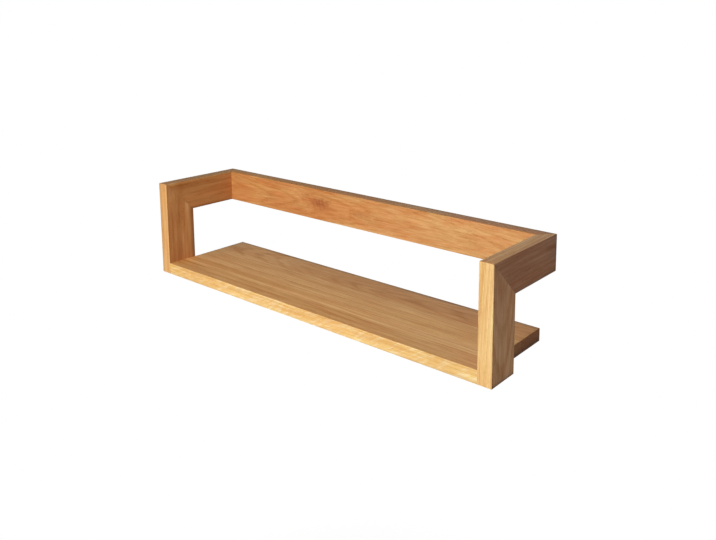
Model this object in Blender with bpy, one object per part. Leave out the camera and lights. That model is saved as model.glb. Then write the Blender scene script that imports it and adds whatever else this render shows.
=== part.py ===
"""Wall shelf of solid oak: a low board between two posts, tied at the top by a three-sided rail.

The posts, the side rails and the back rail are cut from one stock and mitred together at
45 degrees. Dowels cross every joint. Two keyhole plates let into the back rail hang the shelf.

Metres. X runs along the shelf, -Y is the front and +Z is up. The origin is the middle of the
back rail's rear face, which lies against the wall.
"""
import math

import bmesh
import bpy
from mathutils import Vector

# Overall size
SHELF_LENGTH = 0.900
SHELF_DEPTH = 0.210
SHELF_HEIGHT = 0.210

# Stock: posts and rails share one width and one thickness, which keeps every mitre at 45 degrees
MEMBER_WIDTH = 0.069
MEMBER_THICKNESS = 0.028
BOARD_THICKNESS = 0.025
STAVE_COUNT = 3
ARRIS_EASE = 0.0008
ARRIS_SEGMENTS = 2
GLUE_GAP = 0.0003

# Dowels across the joints
DOWEL_DIAMETER = 0.008
MITRE_DOWEL_LENGTH = 0.040
BOARD_DOWEL_LENGTH = 0.036
CORNER_DOWEL_DIAMETER = 0.006
CORNER_DOWEL_LENGTH = 0.026
DOWEL_CHAMFER = 0.001
FLUTE_COUNT = 12
FLUTE_DEPTH = 0.0004
DOWEL_CLEARANCE = 0.0003
DOWEL_END_CLEARANCE = 0.0005
BOARD_DOWEL_COUNT = 3
# Places along a mitre, from its outer corner to its inner corner
MITRE_DOWEL_SHARES = (0.40, 0.75)
CORNER_DOWEL_SHARE = 0.60
# Places up the height of the rails
CORNER_DOWEL_HEIGHT_SHARES = (0.27, 0.73)
# One flute: how far round its pitch each point lies, and how much of the flute's depth it has
FLUTE_SHARES = ((0.0, 0.0), (0.6, 0.0), (0.8, 1.0))

# Keyhole hanger plates
HANGER_INSET = 0.150
PLATE_WIDTH = 0.018
PLATE_HEIGHT = 0.048
PLATE_THICKNESS = 0.002
PLATE_CLEARANCE = 0.0003
KEYHOLE_ENTRY_DIAMETER = 0.010
KEYHOLE_SLOT_WIDTH = 0.005
KEYHOLE_RISE = 0.013
POCKET_MARGIN = 0.0015
POCKET_DEPTH = 0.009

# Countersunk screws that hold the plates
SCREW_SPACING = 0.036
SCREW_LENGTH = 0.016
SCREW_DIAMETER = 0.0032
SCREW_HEAD_DIAMETER = 0.0066
SCREW_TIP_LENGTH = 0.003
SCREW_CLEARANCE = 0.0003
DRIVE_SPAN = 0.0036
DRIVE_WIDTH = 0.0010
DRIVE_DEPTH = 0.0014
DRIVE_FLOOR_SHARE = 0.45

# Cutting and shading
OVERRUN = 0.002
ROUND_SEGMENTS = 24
ARC_SEGMENTS = 12
DRILL_POINT_ANGLE = math.radians(118)
SMOOTH_ANGLE = math.radians(35)
PLANE_TOLERANCE = 0.00001

# Planes that the pieces share, worked out from the sizes above
OUTER_X = SHELF_LENGTH / 2
INNER_X = OUTER_X - MEMBER_THICKNESS
WALL_Y = 0.0
FRONT_Y = WALL_Y - SHELF_DEPTH
POST_BACK_Y = FRONT_Y + MEMBER_WIDTH
RAIL_FRONT_Y = WALL_Y - MEMBER_THICKNESS
TOP_Z = MEMBER_WIDTH / 2
RAIL_BOTTOM_Z = TOP_Z - MEMBER_WIDTH
BOTTOM_Z = TOP_Z - SHELF_HEIGHT
BOARD_TOP_Z = BOTTOM_Z + BOARD_THICKNESS
BOARD_END_X = INNER_X - GLUE_GAP
STAVE_WIDTH = (SHELF_DEPTH - (STAVE_COUNT - 1) * GLUE_GAP) / STAVE_COUNT
HANGER_X = OUTER_X - HANGER_INSET

ALONG_X = Vector((1, 0, 0))
ALONG_Y = Vector((0, 1, 0))
ALONG_Z = Vector((0, 0, 1))
SIDES = {"left": -1, "right": 1}


def clear_scene():
    for item in list(bpy.data.objects):
        bpy.data.objects.remove(item, do_unlink=True)


def make_material(name, colour, roughness, metallic):
    material = bpy.data.materials.new(name)
    material.use_nodes = True
    shader = material.node_tree.nodes["Principled BSDF"]
    shader.inputs["Base Color"].default_value = (*colour, 1)
    shader.inputs["Roughness"].default_value = roughness
    shader.inputs["Metallic"].default_value = metallic
    return material


def oak(name, tone):
    """Oiled oak; tone lightens or darkens one piece against its neighbours."""
    colour = tuple(channel * tone for channel in (0.60, 0.33, 0.13))
    return make_material(name + "_oak", colour, roughness=0.5, metallic=0.0)


def beech(name):
    return make_material(name + "_beech", (0.62, 0.45, 0.28), roughness=0.6, metallic=0.0)


def zinc(name):
    return make_material(name + "_zinc", (0.55, 0.56, 0.58), roughness=0.35, metallic=1.0)


def add_object(name, mesh, material=None, parent=None):
    item = bpy.data.objects.new(name, mesh)
    bpy.context.collection.objects.link(item)
    item.parent = parent
    if material is not None:
        mesh.materials.append(material)
    return item


def add_cutter(name, mesh, parent=None):
    item = add_object(name, mesh, parent=parent)
    item.hide_render = True
    item.display_type = "WIRE"
    return item


def cut_with(item, cutters):
    for cutter in cutters:
        modifier = item.modifiers.new(cutter.name, "BOOLEAN")
        modifier.operation = "DIFFERENCE"
        modifier.solver = "EXACT"
        modifier.object = cutter


def finish_mesh(name, bm, smooth=False):
    bmesh.ops.recalc_face_normals(bm, faces=bm.faces)
    mesh = bpy.data.meshes.new(name)
    bm.to_mesh(mesh)
    bm.free()
    if smooth:
        mesh.shade_smooth()
        mesh.set_sharp_from_angle(angle=SMOOTH_ANGLE)
    return mesh


def aim(item, place, axis):
    """Puts an object at a place with its own +Z along the axis."""
    item.location = place
    item.rotation_mode = "QUATERNION"
    item.rotation_quaternion = ALONG_Z.rotation_difference(axis)


# Planes are (point, outward normal) pairs


def pull_back(plane, distance):
    point, normal = plane
    return (point - normal * distance, normal)


def lies_on(point, plane):
    origin, normal = plane
    return abs((point - origin).dot(normal)) < PLANE_TOLERANCE


def mitred_end(outer_corner, inner_corner, fold, away_from):
    """The end plane of a member whose mitre runs between two corners.

    The fold is the direction in which the mitre face runs through the member, and away_from
    is a point inside the member. Half of the glue gap is taken off this member.
    """
    normal = fold.cross(inner_corner - outer_corner).normalized()
    if normal.dot(away_from - outer_corner) > 0:
        normal = -normal
    return pull_back((outer_corner, normal), GLUE_GAP / 2)


def cut_block(low, high, cuts):
    """A block between two corners with each cut's outer side taken away."""
    bm = bmesh.new()
    bmesh.ops.create_cube(bm, size=1)
    bmesh.ops.scale(bm, vec=high - low, verts=bm.verts)
    bmesh.ops.translate(bm, vec=(low + high) / 2, verts=bm.verts)
    for point, normal in cuts:
        everything = bm.verts[:] + bm.edges[:] + bm.faces[:]
        cut = bmesh.ops.bisect_plane(
            bm, geom=everything, plane_co=point, plane_no=normal, clear_outer=True
        )
        rim = [piece for piece in cut["geom_cut"] if isinstance(piece, bmesh.types.BMEdge)]
        bmesh.ops.contextual_create(bm, geom=rim)
    return bm


def ease_arrises(bm, sharp):
    """Rounds the arrises over, but for those that lie on all the planes of an entry in sharp."""
    eased = []
    for edge in bm.edges:
        kept = False
        for planes in sharp:
            if all(lies_on(vert.co, plane) for vert in edge.verts for plane in planes):
                kept = True
        if not kept:
            eased.append(edge)
    bmesh.ops.bevel(
        bm,
        geom=eased,
        offset=ARRIS_EASE,
        segments=ARRIS_SEGMENTS,
        profile=0.5,
        affect="EDGES",
        clamp_overlap=True,
    )


def add_member(name, low, high, cuts, sharp, tone):
    bm = cut_block(low, high, cuts)
    ease_arrises(bm, sharp)
    return add_object(name, finish_mesh(name, bm), oak(name, tone))


# Solids through rings of points, for turned and fluted pieces


def bridge_rings(bm, lower, upper):
    if len(lower) < len(upper):
        lower, upper = upper, lower
    for index, vert in enumerate(lower):
        following = lower[(index + 1) % len(lower)]
        if len(upper) == 1:
            bm.faces.new((vert, following, upper[0]))
        else:
            opposite = upper[(index + 1) % len(upper)]
            bm.faces.new((vert, following, opposite, upper[index]))


def solid_through(name, rings):
    """A closed solid through rings of points; a ring of one point is a tip."""
    bm = bmesh.new()
    loops = [[bm.verts.new(point) for point in ring] for ring in rings]
    for lower, upper in zip(loops, loops[1:]):
        bridge_rings(bm, lower, upper)
    for end in (loops[0], loops[-1]):
        if len(end) > 1:
            bm.faces.new(end)
    return finish_mesh(name, bm, smooth=True)


def round_ring(radius, height):
    if radius == 0:
        return [(0, 0, height)]
    step = math.tau / ROUND_SEGMENTS
    return [
        (radius * math.cos(index * step), radius * math.sin(index * step), height)
        for index in range(ROUND_SEGMENTS)
    ]


def turned(name, profile):
    """A turned solid along Z; the profile is a list of (radius, height)."""
    return solid_through(name, [round_ring(radius, height) for radius, height in profile])


def fluted_ring(radius, height):
    ring = []
    pitch = math.tau / FLUTE_COUNT
    for flute in range(FLUTE_COUNT):
        for turn_share, depth_share in FLUTE_SHARES:
            angle = (flute + turn_share) * pitch
            reach = radius - FLUTE_DEPTH * depth_share
            ring.append((reach * math.cos(angle), reach * math.sin(angle), height))
    return ring


def dowel_mesh(name, diameter, length):
    """A fluted dowel with chamfered ends, centred on its joint."""
    radius = diameter / 2
    end = length / 2
    profile = (
        (radius - DOWEL_CHAMFER, -end),
        (radius, DOWEL_CHAMFER - end),
        (radius, end - DOWEL_CHAMFER),
        (radius - DOWEL_CHAMFER, end),
    )
    return solid_through(name, [fluted_ring(reach, height) for reach, height in profile])


def dowel_hole_mesh(name, diameter, length):
    """The two blind holes that face each other across a joint, as one cutter."""
    radius = diameter / 2 + DOWEL_CLEARANCE
    end = length / 2 + DOWEL_END_CLEARANCE
    point = radius / math.tan(DRILL_POINT_ANGLE / 2)
    return turned(name, ((0, -end - point), (radius, -end), (radius, end), (0, end + point)))


def add_dowel(name, diameter, length, place, axis):
    """A dowel and the cutter of its holes, which is returned."""
    dowel = add_object(name, dowel_mesh(name, diameter, length), beech(name))
    aim(dowel, place, axis)
    hole = add_cutter(name + "_hole", dowel_hole_mesh(name + "_hole", diameter, length))
    aim(hole, place, axis)
    return hole


# Outlines in X and Z, extruded along Y, for the hanger plates and their recesses


def arc(centre_x, centre_z, radius, start, end):
    step = (end - start) / ARC_SEGMENTS
    return [
        (
            centre_x + radius * math.cos(start + index * step),
            centre_z + radius * math.sin(start + index * step),
        )
        for index in range(ARC_SEGMENTS + 1)
    ]


def round_ended(width, low_z, high_z):
    """An upright outline with half-round ends, as a router of its width cuts it."""
    radius = width / 2
    upper = arc(0, high_z - radius, radius, 0, math.pi)
    lower = arc(0, low_z + radius, radius, math.pi, math.tau)
    return upper + lower


def keyhole():
    """A round entry at the bottom with a narrower slot that rises from it."""
    entry_radius = KEYHOLE_ENTRY_DIAMETER / 2
    slot_radius = KEYHOLE_SLOT_WIDTH / 2
    meeting = math.acos(slot_radius / entry_radius)
    entry = arc(0, -KEYHOLE_RISE / 2, entry_radius, math.pi - meeting, math.tau + meeting)
    slot_end = arc(0, KEYHOLE_RISE / 2, slot_radius, 0, math.pi)
    return entry + slot_end


def extruded(name, outline, near_y, far_y):
    rings = [[(x, y, z) for x, z in outline] for y in (near_y, far_y)]
    return solid_through(name, rings)


def build_board():
    """The board, edge-glued from full-length staves, and its holes for the posts' dowels."""
    holes = []
    for side, sign in SIDES.items():
        for index in range(BOARD_DOWEL_COUNT):
            depth_share = (index + 0.5) / BOARD_DOWEL_COUNT
            place = Vector((
                sign * (INNER_X - GLUE_GAP / 2),
                FRONT_Y + MEMBER_WIDTH * depth_share,
                BOTTOM_Z + BOARD_THICKNESS / 2,
            ))
            name = f"{side}_board_dowel_{index + 1}"
            hole = add_dowel(name, DOWEL_DIAMETER, BOARD_DOWEL_LENGTH, place, ALONG_X)
            holes.append(hole)

    reach = DOWEL_DIAMETER / 2 + DOWEL_CLEARANCE
    for index in range(STAVE_COUNT):
        near_y = FRONT_Y + index * (STAVE_WIDTH + GLUE_GAP)
        far_y = near_y + STAVE_WIDTH
        low = Vector((-BOARD_END_X, near_y, BOTTOM_Z))
        high = Vector((BOARD_END_X, far_y, BOARD_TOP_Z))
        first = index == 0
        last = index == STAVE_COUNT - 1
        sharp = []
        if first:
            sharp.append([(low, -ALONG_X)])
            sharp.append([(high, ALONG_X)])
        else:
            sharp.append([(low, -ALONG_Y)])
        if not last:
            sharp.append([(high, ALONG_Y)])
        name = "shelf_board_" + stave_place(index)
        stave = add_member(name, low, high, [], sharp, tone=stave_tone(index))
        cut_with(stave, [
            hole for hole in holes
            if near_y < hole.location.y + reach and hole.location.y - reach < far_y
        ])
    return holes


def stave_place(index):
    if index == 0:
        return "front_stave"
    if index == STAVE_COUNT - 1:
        return "back_stave"
    if STAVE_COUNT == 3:
        return "middle_stave"
    return f"middle_stave_{index}"


def stave_tone(index):
    """Neighbouring staves come from different boards, so their tone differs a little."""
    return (1.00, 0.96, 0.88)[index % 3]


def post_mitre(sign, inside):
    """The mitre between a post and its side rail, seen from a point inside one of them."""
    outer_corner = Vector((sign * OUTER_X, FRONT_Y, TOP_Z))
    inner_corner = Vector((sign * OUTER_X, POST_BACK_Y, RAIL_BOTTOM_Z))
    return mitred_end(outer_corner, inner_corner, ALONG_X, inside)


def back_mitre(sign, inside):
    """The mitre between a side rail and the back rail, seen from a point inside one of them."""
    outer_corner = Vector((sign * OUTER_X, WALL_Y, TOP_Z))
    inner_corner = Vector((sign * INNER_X, RAIL_FRONT_Y, TOP_Z))
    return mitred_end(outer_corner, inner_corner, ALONG_Z, inside)


def add_post_dowels(side, sign):
    """Dowels square to the mitre face, in the middle of the thickness."""
    holes = []
    axis = Vector((0, 1, 1)).normalized()
    for index, share in enumerate(MITRE_DOWEL_SHARES):
        place = Vector((
            sign * (OUTER_X - MEMBER_THICKNESS / 2),
            FRONT_Y + MEMBER_WIDTH * share,
            TOP_Z - MEMBER_WIDTH * share,
        ))
        name = f"{side}_mitre_dowel_{index + 1}"
        holes.append(add_dowel(name, DOWEL_DIAMETER, MITRE_DOWEL_LENGTH, place, axis))
    return holes


def add_corner_dowels(side, sign):
    """Dowels square to the back corner's mitre, nearer its inner corner, where the wood is deep."""
    holes = []
    axis = Vector((sign, -1, 0)).normalized()
    inset = MEMBER_THICKNESS * CORNER_DOWEL_SHARE
    for index, share in enumerate(CORNER_DOWEL_HEIGHT_SHARES):
        place = Vector((
            sign * (OUTER_X - inset),
            WALL_Y - inset,
            RAIL_BOTTOM_Z + MEMBER_WIDTH * share,
        ))
        name = f"{side}_corner_dowel_{index + 1}"
        holes.append(add_dowel(name, CORNER_DOWEL_DIAMETER, CORNER_DOWEL_LENGTH, place, axis))
    return holes


def across_side(sign, near_y, far_y, low_z, high_z):
    """The low and high corners of a block as thick as one side of the frame."""
    xs = sorted((sign * INNER_X, sign * OUTER_X))
    return Vector((xs[0], near_y, low_z)), Vector((xs[1], far_y, high_z))


def build_post(side, sign, mitre_holes, board_holes):
    low, high = across_side(sign, FRONT_Y, POST_BACK_Y, BOTTOM_Z, TOP_Z)
    outer_foot_corner = Vector((sign * OUTER_X, FRONT_Y, BOTTOM_Z))
    mitre = post_mitre(sign, outer_foot_corner)
    front = (low, -ALONG_Y)
    foot = (low, -ALONG_Z)
    inner = (Vector((sign * INNER_X, FRONT_Y, BOTTOM_Z)), -sign * ALONG_X)
    # The board's front edge and underside are sanded flush with these two arrises
    sharp = [[mitre], [front, inner], [foot, inner]]
    post = add_member(f"{side}_post", low, high, [mitre], sharp, tone=1.05)
    cut_with(post, mitre_holes + board_holes)


def build_side_rail(side, sign, mitre_holes, corner_holes):
    low, high = across_side(sign, FRONT_Y, WALL_Y, RAIL_BOTTOM_Z, TOP_Z)
    middle_of_rail = (low + high) / 2
    front_end = post_mitre(sign, middle_of_rail)
    back_end = back_mitre(sign, middle_of_rail)
    sharp = [[front_end], [back_end]]
    rail = add_member(f"{side}_side_rail", low, high, [front_end, back_end], sharp, tone=0.92)
    cut_with(rail, mitre_holes + corner_holes)


def build_back_rail(corner_holes):
    low = Vector((-OUTER_X, RAIL_FRONT_Y, RAIL_BOTTOM_Z))
    high = Vector((OUTER_X, WALL_Y, TOP_Z))
    middle_of_rail = (low + high) / 2
    ends = [back_mitre(sign, middle_of_rail) for sign in SIDES.values()]
    sharp = [[end] for end in ends]
    rail = add_member("back_rail", low, high, ends, sharp, tone=1.0)
    cut_with(rail, corner_holes)
    return rail


def screw_profile(clearance, above):
    """A countersunk screw's half outline, its head's face at height zero, tip downwards."""
    head = SCREW_HEAD_DIAMETER / 2 + clearance
    shank = SCREW_DIAMETER / 2 + clearance
    head_depth = (SCREW_HEAD_DIAMETER - SCREW_DIAMETER) / 2
    profile = [
        (head, 0),
        (shank, -head_depth),
        (shank, SCREW_TIP_LENGTH - SCREW_LENGTH),
        (0, -SCREW_LENGTH - clearance),
    ]
    if above > 0:
        profile.insert(0, (head, above))
    return profile


def cross_ring(span, width, height):
    """A cross of two equal bars, seen along Z."""
    reach = span / 2
    half = width / 2
    ring = []
    for quarter in range(4):
        turn = quarter * math.pi / 2
        for x, y in ((reach, -half), (reach, half), (half, half)):
            ring.append((
                x * math.cos(turn) - y * math.sin(turn),
                x * math.sin(turn) + y * math.cos(turn),
                height,
            ))
    return ring


def drive_recess_mesh(name):
    """A tapered cross recess, cut from just above the screw's face."""
    floor_span = DRIVE_SPAN * DRIVE_FLOOR_SHARE
    floor_width = DRIVE_WIDTH * DRIVE_FLOOR_SHARE
    return solid_through(name, [
        cross_ring(DRIVE_SPAN, DRIVE_WIDTH, OVERRUN),
        cross_ring(DRIVE_SPAN, DRIVE_WIDTH, 0),
        cross_ring(floor_span, floor_width, -DRIVE_DEPTH),
    ])


def add_hanger_screw(name, hanger, height):
    """A screw through the plate into the rail, and the cutter of its hole, which is returned."""
    place = Vector((0, 0, height))
    screw = add_object(name, turned(name, screw_profile(0, above=0)), zinc(name), hanger)
    aim(screw, place, ALONG_Y)
    drive = add_cutter(name + "_drive", drive_recess_mesh(name + "_drive"), hanger)
    aim(drive, place, ALONG_Y)
    cut_with(screw, [drive])
    hole_mesh = turned(name + "_hole", screw_profile(SCREW_CLEARANCE, above=OVERRUN))
    hole = add_cutter(name + "_hole", hole_mesh, hanger)
    aim(hole, place, ALONG_Y)
    return hole


def build_hanger(side, sign, rail):
    """One keyhole plate, flush with the rail's rear face, over a pocket for the wall screw's head."""
    hanger = bpy.data.objects.new(f"{side}_hanger", None)
    bpy.context.collection.objects.link(hanger)
    hanger.location = (sign * HANGER_X, WALL_Y, 0)

    plate_name = f"{side}_hanger_plate"
    plate_outline = round_ended(PLATE_WIDTH, -PLATE_HEIGHT / 2, PLATE_HEIGHT / 2)
    plate_mesh = extruded(plate_name, plate_outline, -PLATE_THICKNESS, 0)
    plate = add_object(plate_name, plate_mesh, zinc(plate_name), hanger)

    slot_mesh = extruded(f"{side}_keyhole", keyhole(), -PLATE_THICKNESS - OVERRUN, OVERRUN)
    slot = add_cutter(f"{side}_keyhole", slot_mesh, hanger)

    recess_end = PLATE_HEIGHT / 2 + PLATE_CLEARANCE
    recess_outline = round_ended(PLATE_WIDTH + 2 * PLATE_CLEARANCE, -recess_end, recess_end)
    recess_floor = -PLATE_THICKNESS - PLATE_CLEARANCE
    recess_mesh = extruded(f"{side}_plate_recess", recess_outline, recess_floor, OVERRUN)
    recess = add_cutter(f"{side}_plate_recess", recess_mesh, hanger)

    pocket_width = KEYHOLE_ENTRY_DIAMETER + 2 * POCKET_MARGIN
    pocket_end = KEYHOLE_RISE / 2 + pocket_width / 2
    pocket_outline = round_ended(pocket_width, -pocket_end, pocket_end)
    pocket_mesh = extruded(f"{side}_head_pocket", pocket_outline, -POCKET_DEPTH, OVERRUN)
    pocket = add_cutter(f"{side}_head_pocket", pocket_mesh, hanger)

    screw_holes = []
    for place, direction in (("upper", 1), ("lower", -1)):
        name = f"{side}_hanger_screw_{place}"
        screw_holes.append(add_hanger_screw(name, hanger, direction * SCREW_SPACING / 2))

    cut_with(plate, [slot] + screw_holes)
    cut_with(rail, [recess, pocket] + screw_holes)


def build_shelf():
    board_holes = build_board()
    corner_holes = []
    for side, sign in SIDES.items():
        mitre_holes = add_post_dowels(side, sign)
        side_corner_holes = add_corner_dowels(side, sign)
        own_board_holes = [hole for hole in board_holes if hole.location.x * sign > 0]
        build_post(side, sign, mitre_holes, own_board_holes)
        build_side_rail(side, sign, mitre_holes, side_corner_holes)
        corner_holes += side_corner_holes
    rail = build_back_rail(corner_holes)
    for side, sign in SIDES.items():
        build_hanger(side, sign, rail)


clear_scene()
build_shelf()
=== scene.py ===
"""Wall shelf of solid oak: camera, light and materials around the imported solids.

The row frame is in metres: X runs along the shelf, -Y is its front, +Z is up and the wall
is the plane y = 0. Every node's object sits at the origin, so a material's Object
coordinates are metres in that frame, and its pattern is sawn out of one solid block.
"""

import math

import bmesh
import bpy
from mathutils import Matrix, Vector


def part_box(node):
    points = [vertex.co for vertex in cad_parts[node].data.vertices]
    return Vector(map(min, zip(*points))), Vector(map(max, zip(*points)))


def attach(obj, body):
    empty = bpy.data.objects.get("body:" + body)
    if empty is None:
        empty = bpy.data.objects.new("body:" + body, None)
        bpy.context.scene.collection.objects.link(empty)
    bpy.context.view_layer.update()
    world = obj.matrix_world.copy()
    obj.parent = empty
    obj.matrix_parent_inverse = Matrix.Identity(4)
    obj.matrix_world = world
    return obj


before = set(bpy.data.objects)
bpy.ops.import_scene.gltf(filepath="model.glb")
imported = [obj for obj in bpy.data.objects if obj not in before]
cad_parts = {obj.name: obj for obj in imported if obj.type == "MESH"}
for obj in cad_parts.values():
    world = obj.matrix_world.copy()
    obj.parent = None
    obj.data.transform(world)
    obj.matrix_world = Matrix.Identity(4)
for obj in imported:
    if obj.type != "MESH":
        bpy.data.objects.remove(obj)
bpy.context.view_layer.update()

# The shelf's main planes, its joints' gap and its staves' width, as in the solids
OUTER_X, INNER_X = 0.450, 0.422
FRONT_Y, POST_BACK_Y, RAIL_FRONT_Y = -0.210, -0.141, -0.028
TOP_Z, RAIL_BOTTOM_Z = 0.0345, -0.0345
BOTTOM_Z, BOARD_TOP_Z = -0.1755, -0.1505
GLUE_GAP = 0.0003
STAVE_WIDTH = 0.0698

# Camera, fitted to the corners seen in the photograph
LENS_MM = 37.68
SENSOR_MM = 36.0
CAMERA_PLACE = (1.0428, -1.1724, 0.4238)
CAMERA_TURN_DEG = (81.049, -0.278, 37.623)
CAMERA_SHIFT = (-0.0866, -0.1955)
CAMERA_CLIP = (0.05, 100.0)

# Light: (name, direction from the shelf, distance, size, level on a face square to it, colour)
SHELF_CENTRE = Vector((0.0, -0.105, -0.07))
LAMPS = (
    ("key_softbox", (0.35, -2.10, 0.55), 2.2, 1.0, 0.84, (1.0, 0.985, 0.96)),
    ("back_softbox", (-0.35, 0.93, 0.05), 3.2, 2.0, 0.42, (1.0, 1.0, 1.0)),
)
AMBIENT_LEVEL = 0.20

# Floor: it lies well below the shelf, which hangs on a wall, and away from it fades to white
FLOOR_DROP = 1.02
FLOOR_Z = BOTTOM_Z - FLOOR_DROP
FLOOR_SIZE = 40.0
FLOOR_GRID = 8
FLOOR_TONES = (0.80, 0.80, 0.80), (0.84, 0.84, 0.84)
FLOOR_NOISE = (3.0, 3.0, 3.0), 3.0
FLOOR_WHITE_RAMP = (0.25, 0.75, 0.80, 1.0)


# Node trees

# Steps between the nodes in the editor, how many stand in a row, and the columns that are
# left free for the shader
NODE_STEP_X, NODE_STEP_Y, NODE_COLUMNS, FREE_COLUMNS = 220, 180, 9, 2

# Sockets of a Mix node that mixes colours
MIX_SHARE, MIX_FIRST, MIX_SECOND, MIX_RESULT = 0, 6, 7, 2

# The value that a noise lies round
NOISE_MEAN = 0.5


def opaque(value):
    """A colour with its alpha. Sockets pass unchanged."""
    return (*value, 1.0) if isinstance(value, tuple) else value


class Tree:
    """The node tree of a material or the world, built from short calls that return sockets."""

    def __init__(self, owner):
        owner.use_nodes = True
        self.nodes = owner.node_tree.nodes
        self.links = owner.node_tree.links
        self.made = 0

    def node(self, kind, **settings):
        row, column = divmod(self.made, NODE_COLUMNS)
        self.made += 1
        node = self.nodes.new(kind)
        node.location = (-NODE_STEP_X * (FREE_COLUMNS + column), -NODE_STEP_Y * row)
        for name, value in settings.items():
            setattr(node, name, value)
        return node

    def feed(self, socket, value):
        """Links another node's socket to an input, or sets the input's own value."""
        if isinstance(value, bpy.types.NodeSocket):
            self.links.new(value, socket)
        else:
            socket.default_value = value

    def filled(self, kind, values, **settings):
        """A node whose first inputs take the values in turn."""
        node = self.node(kind, **settings)
        for socket, value in zip(node.inputs, values):
            self.feed(socket, value)
        return node

    def math(self, operation, *values, clamp=False):
        node = self.filled("ShaderNodeMath", values, operation=operation, use_clamp=clamp)
        return node.outputs[0]

    def vector(self, operation, *values):
        node = self.filled("ShaderNodeVectorMath", values, operation=operation)
        return node.outputs["Value" if operation == "LENGTH" else "Vector"]

    def split(self, vector):
        return tuple(self.filled("ShaderNodeSeparateXYZ", (vector,)).outputs)

    def join(self, x, y, z):
        return self.filled("ShaderNodeCombineXYZ", (x, y, z)).outputs[0]

    def noise(self, place, scales=None, detail=2.0, roughness=0.5, output="Fac"):
        """Noise at a place whose axes are first stretched by scales."""
        if scales is not None:
            place = self.vector("MULTIPLY", place, scales)
        node = self.node("ShaderNodeTexNoise", noise_dimensions="3D")
        self.feed(node.inputs["Vector"], place)
        self.feed(node.inputs["Scale"], 1.0)
        self.feed(node.inputs["Detail"], detail)
        self.feed(node.inputs["Roughness"], roughness)
        return node.outputs[output]

    def swing(self, place, scales, detail=2.0, roughness=0.5):
        """Noise that swings round zero."""
        noise = self.noise(place, scales, detail, roughness)
        return self.math("SUBTRACT", noise, NOISE_MEAN)

    def ramp(self, value, low, high, new_low=0.0, new_high=1.0):
        """A smooth step from new_low at low to new_high at high."""
        node = self.node("ShaderNodeMapRange", interpolation_type="SMOOTHSTEP")
        self.feed(node.inputs["Value"], value)
        self.feed(node.inputs["From Min"], low)
        self.feed(node.inputs["From Max"], high)
        self.feed(node.inputs["To Min"], new_low)
        self.feed(node.inputs["To Max"], new_high)
        return node.outputs["Result"]

    def bell(self, away):
        """A smooth hump that is one where away is zero and fades out beyond one."""
        squared = self.math("MULTIPLY", away, away)
        return self.math("EXPONENT", self.math("MULTIPLY", squared, -1.0))

    def weigh(self, fields, weights, total=0.0):
        """A total, and each named field times its weight added to it."""
        for name, weight in weights.items():
            total = self.math("MULTIPLY_ADD", fields[name], weight, total)
        return total

    def mix(self, share, first, second, blend="MIX"):
        node = self.node("ShaderNodeMix", data_type="RGBA", blend_type=blend)
        self.feed(node.inputs[MIX_SHARE], share)
        self.feed(node.inputs[MIX_FIRST], opaque(first))
        self.feed(node.inputs[MIX_SECOND], opaque(second))
        return node.outputs[MIX_RESULT]

    def tint(self, share, colour, tone):
        """The colour, multiplied by the tone as far as share says."""
        return self.mix(share, colour, self.mix(1.0, colour, tone, "MULTIPLY"))

    def object_place(self):
        return self.node("ShaderNodeTexCoord").outputs["Object"]

    def surface(self, colour, roughness, height, bump):
        """Feeds a material's own shader, and returns it."""
        relief = self.node("ShaderNodeBump")
        self.feed(relief.inputs["Height"], height)
        relief.inputs["Strength"].default_value, relief.inputs["Distance"].default_value = bump
        shader = self.nodes["Principled BSDF"]
        self.feed(shader.inputs["Base Color"], colour)
        self.feed(shader.inputs["Roughness"], roughness)
        self.feed(shader.inputs["Normal"], relief.outputs[0])
        return shader


# Oak

# How X, Y and Z are taken in turn so that the first runs along the grain
GRAIN_ORDER = {"X": (0, 1, 2), "Y": (1, 0, 2), "Z": (2, 0, 1)}

# A face, as the axis and the sign of the direction that it looks in
RIGHT, FRONT, TOP = ("X", 1), ("Y", -1), ("Z", 1)

# A noise is its stretch on three axes, its detail and its roughness, the last only where it
# isn't the usual one. These run along the piece's grain and twice across it
SLOW_WAVES = (3.0, 10.0, 10.0), 1.5
QUICK_WAVES = (16.0, 55.0, 55.0), 1.5
KNOT_RAGS = (70.0, 110.0, 110.0), 3.0, 0.6
KNOT_STROKES = (60.0, 30.0, 30.0), 1.0
STREAK_WAVER = (5.0, 12.0, 12.0), 2.0
STREAK_FADE = (9.0, 25.0, 25.0), 2.0
ZONE_WAVER = (7.0, 30.0, 30.0), 2.0
FLECK_BEND = (14.0, 14.0, 14.0), 1.0
WEAR_AND_HIGHLIGHT_RAGS = (40.0, 150.0, 150.0), 3.0

# These run along the grain, out from the log's heart and round it, and years from ring to ring
RING_WIDTHS = (1.2, 60.0, 6.0), 2.0
YEARS = (1.0, 0.35, 1.0), 1.0
BANDS = (2.2, 45.0, 40.0), 2.0
STREAKS = (7.0, 260.0, 200.0), 2.5, 0.55
FIBRES = (35.0, 1100.0, 900.0), 2.0, 0.6
PORES = (150.0, 2300.0, 2100.0), 1.0
RAYS = (75.0, 26.0, 1500.0), 1.5, 0.45
BLUSH = (11.0, 75.0, 60.0), 2.0, 0.55

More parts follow.
